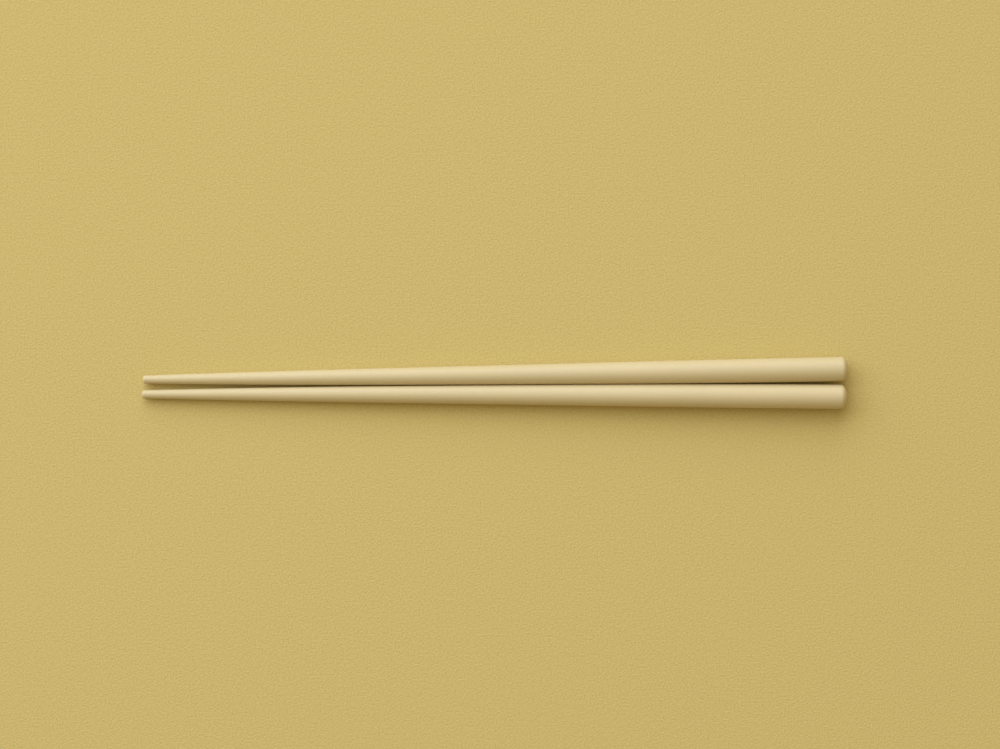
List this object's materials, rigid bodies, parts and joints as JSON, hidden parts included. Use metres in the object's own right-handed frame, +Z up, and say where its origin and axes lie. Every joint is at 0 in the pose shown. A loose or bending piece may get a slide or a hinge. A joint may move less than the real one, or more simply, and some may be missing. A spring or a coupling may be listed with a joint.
{
  "type": "pair of chopsticks",
  "caption": "Matched round moulded chopsticks for picking up food, smooth and cream, with rounded tips, a long taper that fades out towards the handles, and crowned butts.",
  "frame": {"origin": "on the surface that the pair lies on, below the middle of the pair's box", "axes": "+X runs from the tips to the butts between the two sticks, +Y points from the front stick to the rear one, +Z is up from the surface"},
  "size_m": [0.2254, 0.0166, 0.0081],
  "materials": {
    "cream_resin": "smooth, matte cream moulded resin, unmarked and undecorated"
  },
  "bodies": {
    "root": {"rear_chopstick": "cream_resin", "front_chopstick": "cream_resin"}
  },
  "joints": []
}
